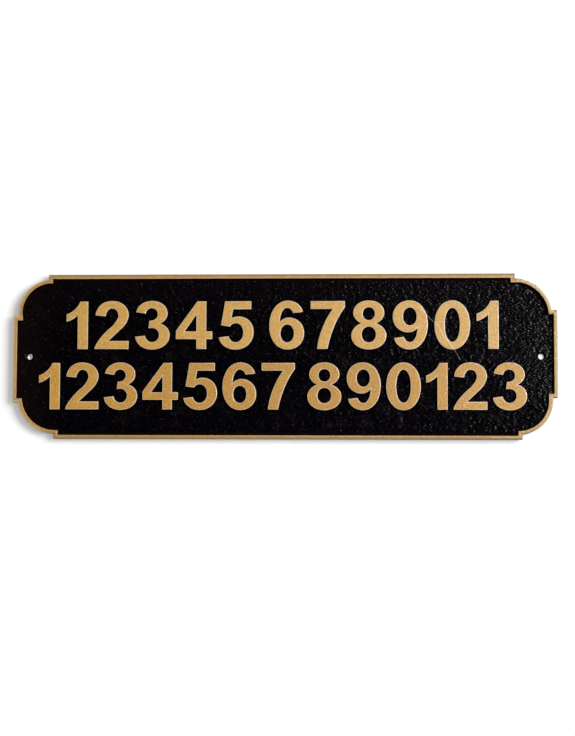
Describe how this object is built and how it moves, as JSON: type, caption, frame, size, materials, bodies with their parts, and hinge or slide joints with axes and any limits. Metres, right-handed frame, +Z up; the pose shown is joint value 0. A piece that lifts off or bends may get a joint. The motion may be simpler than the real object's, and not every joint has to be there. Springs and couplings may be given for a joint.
{
  "type": "railway sign",
  "caption": "Cast wall sign: a black plate with shouldered sides and quarter-round corners, a raised gold rim round its sunk field, and countersunk screw holes near its ends.",
  "frame": {"origin": "on the flat back face, midway between the two screw holes, which is also the middle of the sign's length and height", "axes": "+X along the length, to the right as the sign is seen on its wall; +Y into the wall, so the front faces -Y; +Z up"},
  "size_m": [0.508, 0.0085, 0.1544],
  "materials": {
    "black_paint": "gloss",
    "gold_paint": "satin"
  },
  "bodies": {
    "root": {"cast_plate": "black_paint", "raised_rim": "gold_paint"}
  },
  "joints": []
}
